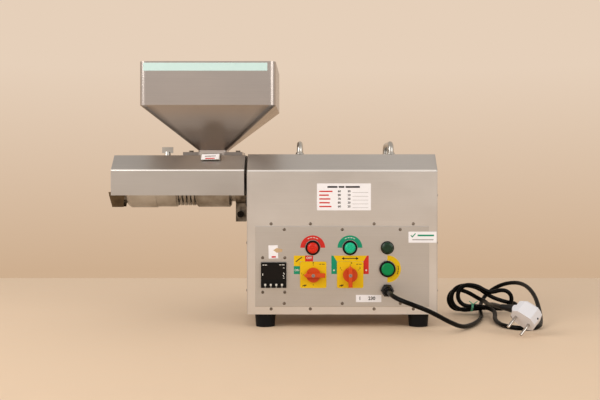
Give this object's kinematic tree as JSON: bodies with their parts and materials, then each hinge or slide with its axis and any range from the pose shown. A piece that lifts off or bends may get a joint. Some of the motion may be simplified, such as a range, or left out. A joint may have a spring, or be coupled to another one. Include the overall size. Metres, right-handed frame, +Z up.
{
  "type": "screw oil press",
  "caption": "Tabletop screw oil press: square feed hopper, lift-off guard over a heated press barrel, geared motor case with control panel, carry handles and mains lead.",
  "frame": {"origin": "on the bench, at the centre of the four feet under the motor case", "axes": "+Z up, +X from the press barrel towards the motor case's right end, -Y towards the operator"},
  "size_m": [0.8623, 0.3615, 0.504],
  "materials": {
    "case_steel": "brushed",
    "cover_steel": "brushed",
    "panel_steel": "brushed",
    "bright_steel": "polished",
    "machined_steel": "machined",
    "screw_steel": "satin",
    "cast_grey": "painted casting",
    "motor_paint": "satin paint",
    "gear_steel": "oiled",
    "heater_mica": "heat tinted",
    "black_plastic": "matte",
    "black_rubber": "matte",
    "yellow_plate": "satin",
    "knob_red": "satin",
    "lens_red": "gloss",
    "lens_green": "gloss",
    "lens_dark": "gloss",
    "button_green": "satin",
    "window_dark": "gloss",
    "key_white": "matte",
    "can_aluminium": "satin",
    "cord_black": "satin",
    "tie_green": "matte",
    "plug_grey": "satin",
    "pin_metal": "plated"
  },
  "bodies": {
    "base": {"case_shell": "case_steel", "base_plate": "case_steel", "stiffening_rails": "case_steel", "left_end_plate": "case_steel", "right_end_plate": "case_steel", "case_screws": "screw_steel", "panel_screws": "screw_steel", "rubber_feet": "black_rubber", "left_carry_handle": "bright_steel", "right_carry_handle": "bright_steel", "control_panel": "panel_steel", "controller_body": "black_plastic", "controller_window": "window_dark", "switch_plates": "yellow_plate", "switch_blocks": "black_plastic", "lamp_bezels": "black_plastic", "heater_lamp_lens": "lens_red", "motor_lamp_lens": "lens_green", "power_lamp_lens": "lens_dark", "reset_button_bezel": "black_plastic", "cable_gland": "black_plastic", "gearbox_housing": "cast_grey", "gearbox_cover": "cast_grey", "output_bearing": "gear_steel", "motor_frame": "motor_paint", "motor_fan_cover": "motor_paint", "motor_cradle": "case_steel", "capacitors": "can_aluminium", "terminal_block": "black_plastic", "barrel_clamp": "machined_steel", "clamp_screw": "screw_steel", "press_barrel": "machined_steel", "press_head": "machined_steel", "heater_band": "heater_mica", "cake_chute": "cover_steel", "power_cord": "cord_black", "cord_hank": "cord_black", "cord_tie": "tie_green", "plug_body": "plug_grey", "plug_pins": "pin_metal"},
    "worm_train": {"press_screw": "machined_steel", "output_shaft": "gear_steel", "output_gear": "gear_steel"},
    "layshaft_set": {"layshaft": "gear_steel", "layshaft_gear": "gear_steel"},
    "rotor": {"motor_shaft": "gear_steel", "motor_fan": "black_plastic"},
    "heater_knob": {"heater_switch_knob": "knob_red"},
    "direction_knob": {"direction_switch_knob": "knob_red"},
    "reset_cap": {"reset_button_cap": "button_green"},
    "key_1": {"controller_key_1": "key_white"},
    "key_2": {"controller_key_2": "key_white"},
    "key_3": {"controller_key_3": "key_white"},
    "key_4": {"controller_key_4": "key_white"},
    "cover": {"press_cover": "cover_steel", "hopper": "cover_steel", "hopper_bolts": "screw_steel"},
    "gate": {"feed_gate": "bright_steel"},
    "knob": {"cover_knob": "bright_steel"},
    "nozzle": {"cake_nozzle": "machined_steel"}
  },
  "joints": [
    {"name": "press_screw_spin", "type": "hinge", "parent": "base", "child": "worm_train", "pos_m": [-0.25, 0, 0.257], "axis": [1, 0, 0], "continuous": true},
    {"name": "layshaft_spin", "type": "hinge", "parent": "base", "child": "layshaft_set", "pos_m": [-0.15, 0.018, 0.1894], "axis": [1, 0, 0], "continuous": true},
    {"name": "rotor_spin", "type": "hinge", "parent": "base", "child": "rotor", "pos_m": [0, 0.02, 0.1413], "axis": [1, 0, 0], "continuous": true},
    {"name": "heater_switch_turn", "type": "hinge", "parent": "base", "child": "heater_knob", "pos_m": [-0.055, -0.1015, 0.1005], "axis": [0, -1, 0], "range_deg": [-90, 0]},
    {"name": "direction_switch_turn", "type": "hinge", "parent": "base", "child": "direction_knob", "pos_m": [0.015, -0.1015, 0.1005], "axis": [0, -1, 0], "range_deg": [-60, 60]},
    {"name": "reset_button_push", "type": "slide", "parent": "base", "child": "reset_cap", "axis": [0, 1, 0], "range_m": [0, 0.004], "stiffness_N_per_m": 250},
    {"name": "key_1_push", "type": "slide", "parent": "base", "child": "key_1", "axis": [0, 1, 0], "range_m": [0, 0.0008], "stiffness_N_per_m": 300},
    {"name": "key_2_push", "type": "slide", "parent": "base", "child": "key_2", "axis": [0, 1, 0], "range_m": [0, 0.0008], "stiffness_N_per_m": 300},
    {"name": "key_3_push", "type": "slide", "parent": "base", "child": "key_3", "axis": [0, 1, 0], "range_m": [0, 0.0008], "stiffness_N_per_m": 300},
    {"name": "key_4_push", "type": "slide", "parent": "base", "child": "key_4", "axis": [0, 1, 0], "range_m": [0, 0.0008], "stiffness_N_per_m": 300},
    {"name": "cover_lift", "type": "slide", "parent": "base", "child": "cover", "axis": [0, 0, 1], "range_m": [0, 0.12]},
    {"name": "cover_knob_turn", "type": "hinge", "parent": "cover", "child": "knob", "pos_m": [-0.347, 0, 0.33], "axis": [0, 0, 1], "range_deg": [0, 180]},
    {"name": "feed_gate_slide", "type": "slide", "parent": "cover", "child": "gate", "axis": [0, -1, 0], "range_m": [0, 0.036]},
    {"name": "cake_nozzle_turn", "type": "hinge", "parent": "base", "child": "nozzle", "pos_m": [-0.437, 0, 0.257], "axis": [1, 0, 0], "range_deg": [-180, 180]}
  ],
  "couplings": [
    {"joint": "layshaft_spin", "follows": "press_screw_spin", "ratio": -4},
    {"joint": "rotor_spin", "follows": "press_screw_spin", "ratio": 18}
  ]
}
